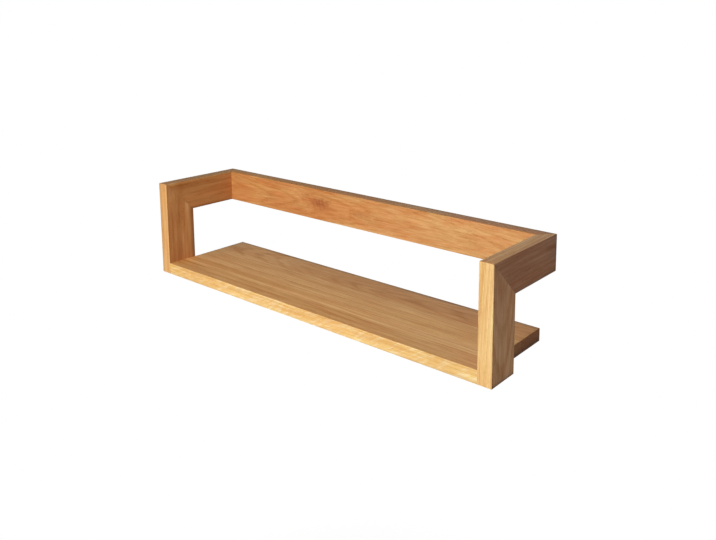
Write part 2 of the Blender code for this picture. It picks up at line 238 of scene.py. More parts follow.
# A ramp is where it starts and ends, and its values there if they aren't zero and one. Early
# wood rises at the end of a ring and fades over the first half of the next
FACE_RAMP = (0.45, 0.90)
END_GRAIN_RAMP = (0.55, 0.92)
EARLY_RISE_RAMP = (0.80, 1.0)
EARLY_FADE_RAMP = (0.50, 0.04)
YEAR_RAMP = (0.35, 0.65, 0.35, 1.0)
PORE_RAMP = (0.57, 0.68)
EARLY_PORE_RAMP = (0.0, 1.0, 0.30, 1.0)
RAY_RAMP = (0.60, 0.70)
BLUSH_RAMP = (0.30, 0.70)
STREAK_FADE_RAMP = (0.30, 0.62, 0.25, 1.0)
KNOT_CORE_RAMP = (1.2, 0.30)
KNOT_HALO_RAMP = (2.0, 0.2)
KNOT_STROKE_RAMP = (-0.5, 0.6, 0.40, 1.0)

# The waves: size of the quick ones, as a share of the slow ones' size
QUICK_SHARE = 0.16

# How many rings wide the unevenness of the rings is
RING_UNEVENNESS = 1.6

# Knots: distance between the dark strokes across them, the strokes' waver in such distances,
# how ragged the outline is, and the shades, shares and tones of halo and core
KNOT_PITCH = 0.0105
KNOT_STROKE_WAVER = 2.5
KNOT_RAGGEDNESS = 0.9
HALO_SHADE, HALO_SHARE, HALO_TONE = 0.36, 0.42, (0.91, 0.71, 0.66)
CORE_SHARE, CORE_COLOUR = 0.58, (0.340, 0.115, 0.052)

# How far streaks and flecks waver, in metres, and zones, in half-widths
STREAK_WAVER_SIZE = 0.006
FLECK_BEND_SIZE = 0.02
ZONE_WAVER_SIZE = 0.9

# Flecks: an offset that gives them a pattern of their own, and their noise's last two values
FLECK_SEED = 1.7
FLECK_DETAIL = 1.0, 0.4

# Shade, from pale wood at zero to deep wood at one, and the tones of both
MEAN_SHADE, LEAST_SHADE, MOST_SHADE = 0.45, -0.35, 1.5
PALE_TONE, DEEP_TONE = (1.10, 1.16, 1.22), (0.84, 0.74, 0.62)

# Rays, open pores and pale arrises (rubbed wood with a painted highlight): how strongly they
# show, and their tones
RAY_SHARE, RAY_TONE = 0.60, (1.07, 1.12, 1.22)
PORE_SHARE, PORE_TONE = 0.60, (0.50, 0.38, 0.30)
WEAR_AND_HIGHLIGHT_TONE = (1.12, 1.18, 1.26)

# Width of the pale arrises, rubbed and with a painted highlight: the least, and what the noise
# adds to it
WEAR_AND_HIGHLIGHT_LEAST, WEAR_AND_HIGHLIGHT_SPREAD = 0.0003, 0.0030

# Oil: pores and early wood are duller, the rays shine
OIL_ROUGHNESS = 0.56
OIL_DULLING = {"pores": 0.16, "early": 0.05, "rays": -0.10, "bands": 0.10}
OIL_SPECULAR = 0.10

# Relief: open pores, and fibres that the sanding left standing. A bump is its strength and
# its distance
OAK_RELIEF = {"fibres": 0.35, "pores": -1.0, "early": -0.25}
OAK_BUMP = (0.35, 0.00025)


def grain_space(tree, look):
    """The piece's coordinates along the grain, away from the log's heart and round it."""
    coordinates = tree.node("ShaderNodeTexCoord")
    axes = tree.split(coordinates.outputs["Object"])
    normal = tree.split(coordinates.outputs["Normal"])
    order = GRAIN_ORDER[look["grain"]]
    along, across, through = (axes[index] for index in order)
    end_grain = tree.ramp(tree.math("ABSOLUTE", normal[order[0]]), *END_GRAIN_RAMP)

    # Away from the heart, which leans, with slow and quick waves of the fibres
    seeded = tree.math("ADD", along, look["seed"])
    placed = tree.join(seeded, across, through)
    from_heart = tree.join(0.0, *(
        tree.math("MULTIPLY_ADD", along, -lean, tree.math("SUBTRACT", place, heart))
        for place, heart, lean in zip((across, through), look["heart"], look["lean"])
    ))
    for noise, sway in ((SLOW_WAVES, look["sway"]), (QUICK_WAVES, look["sway"] * QUICK_SHARE)):
        wave = tree.noise(placed, *noise, output="Color")
        wave = tree.vector("SUBTRACT", wave, (NOISE_MEAN, NOISE_MEAN, NOISE_MEAN))
        wave = tree.vector("MULTIPLY", wave, (0.0, sway, sway))
        from_heart = tree.vector("ADD", from_heart, wave)
    _, side, depth = tree.split(from_heart)
    round_heart = tree.math("MULTIPLY", tree.math("ARCTAN2", side, depth), look["reach"])
    return {
        "axes": axes, "normal": normal, "end": end_grain,
        "along": along, "across": across, "through": through, "seeded": seeded,
        "placed": placed, "radius": tree.vector("LENGTH", from_heart), "round": round_heart,
    }


def facing(tree, space, face):
    """One on the given face, zero on the rest."""
    axis, sign = face
    turned = space["normal"]["XYZ".index(axis)]
    return tree.ramp(tree.math("MULTIPLY", turned, sign), *FACE_RAMP)


def knot_fields(tree, space, look):
    """How far the fibres part round the knots, and how dark the knots' cores and halos are."""
    pushed, core, halo = 0.0, 0.0, 0.0
    rags = tree.swing(space["placed"], *KNOT_RAGS)
    for place_along, place_through, size_along, size_through, push, darkness in look["knots"]:
        away_along = tree.math("SUBTRACT", space["along"], place_along)
        away_along = tree.math("DIVIDE", away_along, size_along)
        away_through = tree.math("SUBTRACT", space["through"], place_through)
        away_through = tree.math("DIVIDE", away_through, size_through)
        away = tree.vector("LENGTH", tree.join(away_along, away_through, 0.0))
        away = tree.math("MULTIPLY_ADD", rags, KNOT_RAGGEDNESS, away)
        pushed = tree.math("MULTIPLY_ADD", tree.bell(away), push, pushed)
        core = tree.math("MULTIPLY_ADD", tree.ramp(away, *KNOT_CORE_RAMP), darkness, core)
        halo = tree.math("MULTIPLY_ADD", tree.ramp(away, *KNOT_HALO_RAMP), darkness, halo)
    strokes = tree.noise(space["placed"], *KNOT_STROKES)
    strokes = tree.math("MULTIPLY_ADD", strokes, KNOT_PITCH * KNOT_STROKE_WAVER, space["along"])
    strokes = tree.math("SINE", tree.math("MULTIPLY", strokes, math.tau / KNOT_PITCH))
    core = tree.math("MULTIPLY", core, tree.ramp(strokes, *KNOT_STROKE_RAMP))
    return pushed, core, halo


def streak_field(tree, space, look):
    """Single darker or paler streaks along the grain."""
    total = 0.0
    waver = tree.math("MULTIPLY", tree.swing(space["placed"], *STREAK_WAVER), STREAK_WAVER_SIZE)
    across = tree.math("ADD", space["across"], waver)
    fade = tree.ramp(tree.noise(space["placed"], *STREAK_FADE), *STREAK_FADE_RAMP)
    for place, half_width, weight in look["streaks"]:
        away = tree.math("DIVIDE", tree.math("SUBTRACT", across, place), half_width)
        total = tree.math("MULTIPLY_ADD", tree.bell(away), weight, total)
    return tree.math("MULTIPLY", total, fade)


def fleck_field(tree, space, look):
    """Slender flecks that slant across one quarter-sawn face, more steeply further along it."""
    flecks = look["flecks"]
    along, rise = space["along"], space["through"]
    bend = tree.math("MULTIPLY", tree.swing(space["placed"], *FLECK_BEND), FLECK_BEND_SIZE)

    # From the shelf's middle to here a fleck climbs by its mean slope times the way
    mean_slope = tree.math("MULTIPLY_ADD", along, flecks["steepening"] / 2, flecks["slope"])
    climb = tree.math("MULTIPLY", along, mean_slope)
    aside = tree.math("SUBTRACT", tree.math("ADD", rise, bend), climb)
    place = tree.join(tree.math("DIVIDE", along, flecks["length"]),
                      tree.math("DIVIDE", aside, flecks["width"]), look["seed"] + FLECK_SEED)
    slivers = tree.ramp(tree.noise(place, None, *FLECK_DETAIL), *flecks["ramp"])
    return tree.math("MULTIPLY", slivers, facing(tree, space, flecks["face"]))


def edge_wear_and_highlight(tree, space, box):
    """One at the arrises of the piece's box, fading within a millimetre or two: rubbed wood and
    a painted highlight.
    """
    reaches = []
    for axis, least, most in zip(space["axes"], *box):
        off_low = tree.math("SUBTRACT", axis, least)
        off_high = tree.math("SUBTRACT", most, axis)
        reaches.append(tree.math("MINIMUM", off_low, off_high))
    x, y, z = reaches
    nearest = tree.math("MINIMUM", tree.math("MINIMUM", x, y), z)
    farthest = tree.math("MAXIMUM", tree.math("MAXIMUM", x, y), z)
    total = tree.math("ADD", tree.math("ADD", x, y), z)
    middle = tree.math("SUBTRACT", tree.math("SUBTRACT", total, nearest), farthest)
    width = tree.noise(space["placed"], *WEAR_AND_HIGHLIGHT_RAGS)
    width = tree.math("MULTIPLY_ADD", width, WEAR_AND_HIGHLIGHT_SPREAD, WEAR_AND_HIGHLIGHT_LEAST)
    return tree.math("SUBTRACT", 1.0, tree.math("DIVIDE", middle, width, clamp=True), clamp=True)


def wood_fields(tree, space, look):
    """The wood's own pattern: early wood, bands, streaks, fibres, pores, rays and blush."""
    along, radius, round_heart = space["along"], space["radius"], space["round"]
    flow = tree.join(space["seeded"], radius, round_heart)

    # Growth rings, uneven in width: the early wood is open and dark, the late wood dense
    count = tree.math("DIVIDE", radius, look["ring"])
    count = tree.math("MULTIPLY_ADD", tree.noise(flow, *RING_WIDTHS), RING_UNEVENNESS, count)
    turn = tree.math("FRACT", count)
    rise, fade = tree.ramp(turn, *EARLY_RISE_RAMP), tree.ramp(turn, *EARLY_FADE_RAMP)
    year = tree.ramp(tree.noise(tree.join(0.0, count, 0.0), *YEARS), *YEAR_RAMP)
    early = tree.math("MULTIPLY", tree.math("MAXIMUM", rise, fade), year)

    scales, detail, roughness = STREAKS
    scales = tuple(scale * look["fine"] for scale in scales)
    pores = tree.ramp(tree.noise(flow, *PORES), *PORE_RAMP)
    return {
        "early": early,
        "bands": tree.noise(flow, *BANDS),
        "streaks": tree.noise(flow, scales, detail, roughness),
        "fibres": tree.noise(flow, *FIBRES),
        "pores": tree.math("MULTIPLY", pores, tree.ramp(early, *EARLY_PORE_RAMP)),
        "rays": tree.ramp(tree.noise(tree.join(along, radius, round_heart), *RAYS), *RAY_RAMP),
        "blush": tree.ramp(tree.noise(flow, *BLUSH), *BLUSH_RAMP),
    }


def wood_shade(tree, space, look, wood, halo):
    """How far each point is from the pale wood, at zero, to the deep wood, at one."""
    shade = MEAN_SHADE
    for field, weight in (("bands", "band"), ("streaks", "streak"), ("fibres", "fibre")):
        swing = tree.math("SUBTRACT", wood[field], NOISE_MEAN)
        shade = tree.math("MULTIPLY_ADD", swing, look[weight], shade)
    shade = tree.math("MULTIPLY_ADD", wood["early"], look["early"], shade)
    if look["streaks"]:
        shade = tree.math("ADD", shade, streak_field(tree, space, look))
    if halo is not None:
        shade = tree.math("MULTIPLY_ADD", halo, HALO_SHADE, shade)
    return tree.math("MINIMUM", tree.math("MAXIMUM", shade, LEAST_SHADE), MOST_SHADE)


def regional_tones(tree, space, colour, look):
    """Slow drifts along the grain, whole faces, and soft zones on a face, each in its tone.

    Whole-face tones are painted light: the lit fronts paler, the tops in the tone of the light
    from above.
    Some drifts and zones are painted shade and highlights, as the looks mark.
    """
    for start, end, tone in look["drifts"]:
        colour = tree.tint(tree.ramp(space["along"], start, end), colour, tone)
    for face, tone in look["faces"]:
        colour = tree.tint(facing(tree, space, face), colour, tone)
    waver = tree.swing(space["placed"], *ZONE_WAVER)
    for face, axis, place, half_width, tone in look["zones"]:
        away = tree.math("SUBTRACT", space["axes"]["XYZ".index(axis)], place)
        away = tree.math("DIVIDE", away, half_width)
        away = tree.math("MULTIPLY_ADD", waver, ZONE_WAVER_SIZE, away)
        share = tree.math("MULTIPLY", tree.bell(away), facing(tree, space, face))
        colour = tree.tint(share, colour, tone)
    return colour


def scaled(colour, factors):
    return tuple(channel * factor for channel, factor in zip(colour, factors))


def oak(name, box, look):
    """Oiled oak: rings, fibres, open pores, ray flecks, knots and end grain from one block, with
    painted light and shade on whole faces, arrises and some zones.
    """
    material = bpy.data.materials.new(name)
    tree = Tree(material)
    space = grain_space(tree, look)
    core = halo = None
    if look["knots"]:
        pushed, core, halo = knot_fields(tree, space, look)
        space["radius"] = tree.math("ADD", space["radius"], pushed)
    wood = wood_fields(tree, space, look)

    # The wood's colour
    pale, deep = scaled(look["tone"], PALE_TONE), scaled(look["tone"], DEEP_TONE)
    shade = wood_shade(tree, space, look, wood, halo)
    deepened = tree.vector("SUBTRACT", deep, pale)
    deepened = tree.vector("MULTIPLY", deepened, tree.join(shade, shade, shade))
    colour = regional_tones(tree, space, tree.vector("ADD", pale, deepened), look)
    blush = tree.mix(wood["blush"], look["cool"], look["warm"])
    colour = tree.mix(1.0, colour, blush, "MULTIPLY")

    # What stands out from it: knots, rays, flecks, pores, pale arrises that are partly rubbed
    # and partly a painted highlight, and end grain
    if look["knots"]:
        colour = tree.tint(tree.math("MULTIPLY", halo, HALO_SHARE), colour, HALO_TONE)
        colour = tree.mix(tree.math("MULTIPLY", core, CORE_SHARE), colour, CORE_COLOUR)
    colour = tree.tint(tree.math("MULTIPLY", wood["rays"], RAY_SHARE), colour, RAY_TONE)
    if look["flecks"]:
        colour = tree.tint(fleck_field(tree, space, look), colour, look["flecks"]["tone"])
    colour = tree.tint(tree.math("MULTIPLY", wood["pores"], PORE_SHARE), colour, PORE_TONE)
    # Pale arrises: rubbed wood, and a painted highlight where the eased edges catch the light
    wear_and_highlight = tree.math("MULTIPLY", edge_wear_and_highlight(tree, space, box), look["wear_and_highlight"])
    colour = tree.tint(wear_and_highlight, colour, WEAR_AND_HIGHLIGHT_TONE)
    colour = tree.tint(space["end"], colour, look["end_tone"])

    dull = tree.weigh(wood, OIL_DULLING, OIL_ROUGHNESS)
    shader = tree.surface(colour, dull, tree.weigh(wood, OAK_RELIEF), OAK_BUMP)
    shader.inputs["Specular IOR Level"].default_value = OIL_SPECULAR
    return material


# The looks of the oak pieces. Places and sizes are metres in the row frame, and a tone is a
# factor on red, green and blue.
#   grain         the axis that the fibres run along
#   heart, lean   where the log's heart passes on the other two axes, and its slant along it
#   reach         the radius at which an angle round the heart is turned into a length
#   seed          an offset along the grain, so that no two pieces share a pattern
#   tone          here not a factor but the wood's own colour
#   sway, ring    how far the fibres wave, and the width of a year's ring
#   fine          how fine the streaks are
#   band, streak, fibre, early   how strongly each of these darkens or pales the wood
#   warm, cool    the two tones of a soft blush
#   end_tone      of the end grain
#   wear_and_highlight   how strongly the arrises are paled, as rubbed wood and as a painted highlight
#   knots         (place along, place through, size along, size through, push, darkness)
#   streaks       (place across, half-width, weight)
#   drifts        (start along the grain, end, tone)
#   faces         (face, tone), the tone being painted light on the whole face
#   zones         (face, axis, place on it, half-width, tone)
#   flecks        a face, its flecks' slope and how it steepens per metre, their length and
#                 width, their noise's ramp and their tone
LOOK = {
    "lean": (0.0, 0.0), "sway": 0.012, "ring": 0.0028, "fine": 1.0,
    "band": 1.4, "streak": 2.4, "fibre": 1.1, "early": 0.42,
    "warm": (0.97, 0.92, 0.90), "cool": (1.03, 1.07, 1.10),
    "end_tone": (0.46, 0.38, 0.36), "wear_and_highlight": 0.65,
    "knots": (), "streaks": (), "drifts": (), "faces": (), "zones": (), "flecks": None,
}
# Painted shade: the board's right end darker towards its foot
BOARD_END_FOOT_SHADE = (RIGHT, "Z", -0.1760, 0.009, (0.47, 0.48, 0.56))
OAK_LOOKS = {
    "shelf_board_front_stave": {
        "grain": "X", "heart": (-0.2055, -0.300), "reach": 0.137, "seed": 3.1, "sway": 0.006,
        "tone": (0.91, 0.507, 0.193), "streak": 1.8, "early": 0.24,
        "flecks": {
            "face": FRONT, "slope": 0.41, "steepening": 0.34, "length": 0.029,
            "width": 0.0054, "ramp": (0.48, 0.64), "tone": (1.04, 1.155, 1.49),
        },
        "streaks": (
            (-0.1750, 0.0016, 0.75),
            (-0.1640, 0.0022, -0.60),
            (-0.1900, 0.0030, 0.35),
        ),
        "drifts": (
            # Painted light: paler next to the left post, lifting the shade that falls beside it
            (-0.36, -0.42, (1.04, 1.04, 0.96)),
            (0.05, 0.40, (0.95, 1.00, 1.03)),
        ),
        # Painted light: the brightly lit front paler and yellower
        "faces": ((FRONT, (1.01, 1.17, 1.18)),),
        "zones": (
            # Painted shade: the board's right end darker towards its foot
            (RIGHT, "Z", -0.1760, 0.009, (0.60, 0.58, 0.70)),
            (FRONT, "Z", -0.1760, 0.0050, (0.86, 0.88, 0.94)),
            (FRONT, "X", -0.3400, 0.150, (0.98, 0.91, 0.84)),
        ),
    },
    "shelf_board_middle_stave": {
        "grain": "X", "heart": (-0.020, -0.290), "reach": 0.18, "seed": 7.7, "sway": 0.008,
        "tone": (0.958, 0.577, 0.2455), "streak": 1.8, "band": 1.0,
        "end_tone": (0.46, 0.35, 0.36),
        "streaks": (
            (-0.1312, 0.0022, -0.40),
            (-0.1200, 0.0030, 0.25),
        ),
        # Partly painted shade: darker and redder towards the right, where the right post and
        # rail shade the board, and partly the wood's own figure
        "drifts": ((-0.3, 0.42, (0.93, 0.905, 0.79)),),
        "zones": (
            (TOP, "Y", -0.065, 0.022, (0.90, 0.88, 0.86)),
            # Painted shade: darker next to the left post, and a dark line in the corner against
            # it
            (TOP, "X", -0.430, 0.050, (0.88, 0.90, 0.92)),
            (TOP, "X", -0.4222, 0.0040, (0.62, 0.66, 0.72)),
            BOARD_END_FOOT_SHADE,
        ),
    },
    "shelf_board_back_stave": {
        "grain": "X", "heart": (-0.040, -0.260), "lean": (0.0, 0.035), "reach": 0.11,
        "seed": 12.4, "sway": 0.014,
        "tone": (0.838, 0.478, 0.2045), "streak": 1.8, "band": 0.9,
        "end_tone": (0.54, 0.46, 0.585),
        # Partly painted shade: darker and redder towards the right, where the right post and
        # rail shade the board, and partly the wood's own figure
        "drifts": ((-0.4, 0.42, (0.805, 0.675, 0.485)),),
        "zones": (
            (TOP, "Y", 0.001, 0.0075, (0.40, 0.43, 0.47)),
            (TOP, "Y", -0.070, 0.020, (1.05, 1.05, 1.04)),
            # Painted shade: darker next to the left post
            (TOP, "X", -0.430, 0.050, (0.88, 0.95, 1.04)),
            (TOP, "X", -0.250, 0.100, (1.03, 1.05, 1.07)),
            # Painted shade: a dark line in the corner against the left post
            (TOP, "X", -0.4222, 0.0050, (0.50, 0.54, 0.62)),
            (TOP, "X", 0.4220, 0.032, (1.12, 1.15, 1.18)),
            BOARD_END_FOOT_SHADE,
            (RIGHT, "Y", 0.001, 0.0045, (0.74, 0.78, 0.86)),
        ),
    },
    "left_post": {
        "grain": "Z", "heart": (-0.560, -0.170), "reach": 0.12, "seed": 29.3, "sway": 0.006,
        "tone": (0.639, 0.3005, 0.1083), "streak": 2.0,
        # Painted light: the brightly lit front much paler than the shaded inner face
        "faces": ((FRONT, (1.37, 1.64, 1.80)),),
        "zones": (
            (FRONT, "X", -0.4505, 0.0065, (0.80, 0.89, 1.10)),
            (RIGHT, "Y", -0.1410, 0.0055, (0.56, 0.56, 0.62)),
            (RIGHT, "Y", -0.1478, 0.0035, (0.84, 0.84, 0.88)),
            (RIGHT, "Y", -0.1640, 0.0095, (1.13, 1.18, 1.27)),
            (RIGHT, "Y", -0.1840, 0.0060, (0.92, 0.86, 0.82)),
            (RIGHT, "Y", -0.1965, 0.0035, (1.07, 1.08, 1.10)),
            (RIGHT, "Y", -0.1690, 0.0035, (1.08, 1.12, 1.20)),
            (RIGHT, "Z", -0.1650, 0.0600, (0.89, 0.84, 0.82)),
            (RIGHT, "Z", 0.0020, 0.0090, (1.05, 1.10, 1.14)),
            (RIGHT, "Z", -0.0230, 0.0110, (1.05, 1.09, 1.13)),
        ),
    },
    "right_post": {
        "grain": "Z", "heart": (0.310, -0.180), "lean": (0.04, 0.0), "reach": 0.13,
        "seed": 25.9, "sway": 0.006,
        "tone": (0.74, 0.41, 0.205), "streak": 2.3, "wear_and_highlight": 0.30,
        # Painted light: the brightly lit front paler and yellower
        "faces": ((FRONT, (1.13, 1.36, 1.19)),),
        "zones": (
            (FRONT, "X", 0.4500, 0.0020, (0.90, 0.93, 0.96)),
            (FRONT, "Z", -0.1500, 0.040, (0.98, 0.93, 0.88)),
            # Painted shade: the outer face darker towards its foot, with a dark line along the
            # bottom
            (RIGHT, "Z", -0.1760, 0.0034, (0.38, 0.37, 0.40)),
            (RIGHT, "Z", -0.1800, 0.016, (0.80, 0.78, 0.78)),
            (RIGHT, "Y", -0.2110, 0.0045, (0.89, 0.81, 0.68)),
            (RIGHT, "Y", -0.1400, 0.0040, (0.80, 0.80, 0.84)),
            (RIGHT, "Y", -0.1560, 0.014, (1.14, 1.16, 1.22)),
            (RIGHT, "Z", 0.0345, 0.0140, (0.80, 0.77, 0.75)),
            (RIGHT, "Z", 0.0100, 0.050, (0.94, 0.93, 0.98)),
        ),
    },
    "left_side_rail": {
        "grain": "Y", "heart": (-0.580, 0.010), "reach": 0.14, "seed": 31.2, "sway": 0.009,
        "tone": (0.610, 0.277, 0.095),
        # Painted light: the top in the tone of the light from above
        "faces": ((TOP, (0.94, 1.10, 1.26)),),
        "zones": (
            (TOP, "Y", -0.210, 0.045, (1.22, 1.24, 1.34)),
            (TOP, "X", -0.4510, 0.0070, (0.66, 0.70, 0.78)),
            (RIGHT, "Z", 0.0350, 0.0075, (1.10, 1.19, 1.24)),
            (RIGHT, "Z", 0.0200, 0.0035, (0.88, 0.82, 0.77)),
            (RIGHT, "Z", 0.0135, 0.0036, (1.06, 1.14, 1.19)),
            (RIGHT, "Z", -0.0065, 0.0060, (0.93, 0.87, 0.81)),
            (RIGHT, "Z", -0.0345, 0.0040, (0.70, 0.80, 1.00)),
            (RIGHT, "Y", -0.1930, 0.0120, (1.09, 1.20, 1.26)),
            (RIGHT, "Y", -0.1720, 0.0090, (0.92, 0.87, 0.81)),
        ),
    },
    "right_side_rail": {
        "grain": "Y", "heart": (0.300, -0.010), "reach": 0.14, "seed": 36.8, "sway": 0.010,
        "tone": (0.53, 0.258, 0.140), "streak": 2.6, "wear_and_highlight": 0.25,
        # Painted light: the top in the tone of the light from above
        "faces": ((TOP, (1.45, 1.69, 1.23)),),
        "zones": (
            (TOP, "Y", -0.212, 0.018, (1.12, 0.97, 0.85)),
            (TOP, "Y", -0.006, 0.020, (1.05, 1.12, 1.24)),
            (TOP, "X", 0.4508, 0.0035, (0.84, 0.86, 0.96)),
            (RIGHT, "Y", -0.2110, 0.0050, (0.88, 0.81, 0.66)),
            (RIGHT, "Z", -0.0350, 0.005, (0.78, 0.84, 0.92)),
            (RIGHT, "Z", -0.0170, 0.013, (1.09, 1.09, 1.15)),
            (RIGHT, "Y", -0.002, 0.030, (0.87, 0.88, 0.88)),
            (RIGHT, "Y", 0.0005, 0.0045, (0.70, 0.76, 0.84)),
        ),
    },
    "back_rail": {
        "grain": "X", "heart": (0.060, -0.004), "lean": (0.045, 0.0), "reach": 0.09,
        "seed": 46.3, "ring": 0.0030, "fine": 1.6,
        "tone": (0.665, 0.300, 0.104), "streak": 2.0, "fibre": 1.4, "early": 0.30, "band": 1.1,
        "warm": (0.97, 0.85, 0.80), "cool": (1.03, 1.12, 1.16),
        "knots": (
            (-0.117, 0.003, 0.034, 0.0150, 0.005, 1.0),
            (-0.158, 0.015, 0.022, 0.0090, 0.004, 0.35),
            (0.006, -0.002, 0.026, 0.0070, 0.005, 0.35),
        ),
        "drifts": (
            (-0.20, 0.20, (1.04, 1.17, 1.29)),
            # Painted shade: the left end darker, where the left side rail shades it
            (-0.37, -0.43, (0.92, 0.92, 0.84)),
        ),
        # Painted light: the top in the tone of the light from above
        "faces": ((TOP, (1.00, 1.17, 1.27)),),
        "zones": (
            (TOP, "X", 0.400, 0.440, (0.71, 0.505, 0.29)),
            # Painted highlight along the front edge of the top
            (TOP, "Y", -0.030, 0.012, (1.22, 1.12, 0.90)),
            (TOP, "Y", 0.001, 0.0110, (0.70, 0.77, 0.95)),
            # Painted highlight along the bottom arris of the front
            (FRONT, "Z", -0.0350, 0.0045, (1.03, 1.10, 1.14)),
            (FRONT, "Z", 0.016, 0.012, (1.03, 1.05, 1.06)),
            (FRONT, "X", -0.080, 0.090, (1.03, 1.09, 1.12)),
            (FRONT, "X", -0.340, 0.060, (1.01, 0.99, 0.94)),
        ),
    },
}


# Dowels, hangers and glue

# Beech: how far its flecks' noise is stretched along a dowel and across it, and the rest
BEECH_ALONG, BEECH_ACROSS, BEECH_DETAIL = 60.0, 1400.0, (2.0, 0.6)
BEECH_CLOUDS = (90.0, 90.0, 90.0), 2.0
BEECH_TONES = (0.66, 0.44, 0.26), (0.74, 0.54, 0.34)
BEECH_FLECK_RAMP, BEECH_FLECK_TONE = (0.56, 0.70), (0.42, 0.25, 0.13)
BEECH_ROUGHNESS_RAMP = (0.3, 0.8, 0.55, 0.75)
BEECH_BUMP = (0.3, 0.0002)

# Zinc: brush lines of the screws and the plates, clouds, and dull specks
SCREW_BRUSH = (900.0, 900.0, 900.0), 2.0, 0.6
PLATE_BRUSH = (2600.0, 2600.0, 60.0), 2.0, 0.6
ZINC_CLOUDS = (160.0, 160.0, 120.0), 3.0, 0.55
ZINC_SPECKS, ZINC_SPECK_RAMP = ((2400.0, 2400.0, 2400.0), 2.0), (0.60, 0.72)
ZINC_TONES = (0.22, 0.225, 0.24), (0.36, 0.36, 0.36)
ZINC_TARNISH_RAMP, ZINC_TARNISH = (0.52, 0.74, 0.0, 0.35), (0.36, 0.33, 0.27)
ZINC_SPECK_SHARE, ZINC_SPECK_TONE = 0.45, (0.12, 0.12, 0.13)
ZINC_ROUGHNESS_RAMP, ZINC_SPECK_DULLING = (0.25, 0.75, 0.40, 0.56), 0.20
ZINC_SPECK_DEPTH, ZINC_BUMP = -0.6, (0.15, 0.00008)

# Glue: its drops and their two tones
GLUE_DROPS = (260.0, 260.0, 260.0), 3.0, 0.6
GLUE_TONES = (0.30, 0.145, 0.055), (0.54, 0.29, 0.120)
GLUE_ROUGHNESS_RAMP = (0.3, 0.7, 0.35, 0.60)
GLUE_BUMP = (0.3, 0.0002)


def beech(name, box):
    """Pale fluted dowel wood with fine brown flecks along its axis."""
    material = bpy.data.materials.new(name)
    tree = Tree(material)
    place = tree.object_place()
    spans = [most - least for least, most in zip(*box)]
    longest = spans.index(max(spans))
    stretch = tuple(BEECH_ALONG if axis == longest else BEECH_ACROSS for axis in range(3))
    flecks = tree.noise(place, stretch, *BEECH_DETAIL)
    colour = tree.mix(tree.noise(place, *BEECH_CLOUDS), *BEECH_TONES)
    colour = tree.mix(tree.ramp(flecks, *BEECH_FLECK_RAMP), colour, BEECH_FLECK_TONE)
    tree.surface(colour, tree.ramp(flecks, *BEECH_ROUGHNESS_RAMP), flecks, BEECH_BUMP)
    return material


def plated_steel(name, brush):
    """Bright zinc plating: soft clouds, fine brush lines, and dulled specks and scratches."""
    material = bpy.data.materials.new(name)
    tree = Tree(material)
    place = tree.object_place()
    clouds = tree.noise(place, *ZINC_CLOUDS)
    lines = tree.noise(place, *brush)
    specks = tree.ramp(tree.noise(place, *ZINC_SPECKS), *ZINC_SPECK_RAMP)
    colour = tree.mix(clouds, *ZINC_TONES)
    colour = tree.mix(tree.ramp(clouds, *ZINC_TARNISH_RAMP), colour, ZINC_TARNISH)
    colour = tree.mix(tree.math("MULTIPLY", specks, ZINC_SPECK_SHARE), colour, ZINC_SPECK_TONE)
    rough = tree.ramp(lines, *ZINC_ROUGHNESS_RAMP)
    rough = tree.math("MULTIPLY_ADD", specks, ZINC_SPECK_DULLING, rough)
    relief = tree.math("MULTIPLY_ADD", specks, ZINC_SPECK_DEPTH, lines)
    shader = tree.surface(colour, rough, relief, ZINC_BUMP)
    shader.inputs["Metallic"].default_value = 1.0
    return material


def glue(name):
    """A hairline of wood glue, darkened by the oil."""
    material = bpy.data.materials.new(name)
    tree = Tree(material)
    drops = tree.noise(tree.object_place(), *GLUE_DROPS)
    colour = tree.mix(drops, *GLUE_TONES)
    tree.surface(colour, tree.ramp(drops, *GLUE_ROUGHNESS_RAMP), drops, GLUE_BUMP)
    return material


def dress_solids():
    """Gives every CAD node its material."""
    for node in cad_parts:
        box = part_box(node)
        if node in OAK_LOOKS:
            material = oak("oak_" + node, box, {**LOOK, **OAK_LOOKS[node]})
        elif "dowel" in node:
            material = beech("beech_" + node, box)
        else:
            brush = SCREW_BRUSH if "screw" in node else PLATE_BRUSH
            material = plated_steel("zinc_" + node, brush)
        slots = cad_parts[node].data.materials
        slots.clear()
        slots.append(material)


# Glue lines that fill the joints' hairline gaps

# How far a line reaches into the joint, how far it stays below the surface, its thickness,
# and how far its corners are cut back, at an eased edge and at the board's sharp ends
GLUE_DEPTH = 0.0025
GLUE_INSET = 0.0002
GLUE_THICKNESS = 0.00026
CORNER_EASE = 0.0009
BOARD_END_EASE = 0.0002


def add_object(name, data):
    made = bpy.data.objects.new(name, data)
    bpy.context.scene.collection.objects.link(made)
    return made


def rounded_corners(width, height, ease):
    """An outline centred on the origin whose corners are cut back by ease."""
    half_width, half_height = width / 2, height / 2
    return [
        (-half_width + ease, -half_height), (half_width - ease, -half_height),
        (half_width, -half_height + ease), (half_width, half_height - ease),
        (half_width - ease, half_height), (-half_width + ease, half_height),
        (-half_width, half_height - ease), (-half_width, -half_height + ease),
    ]


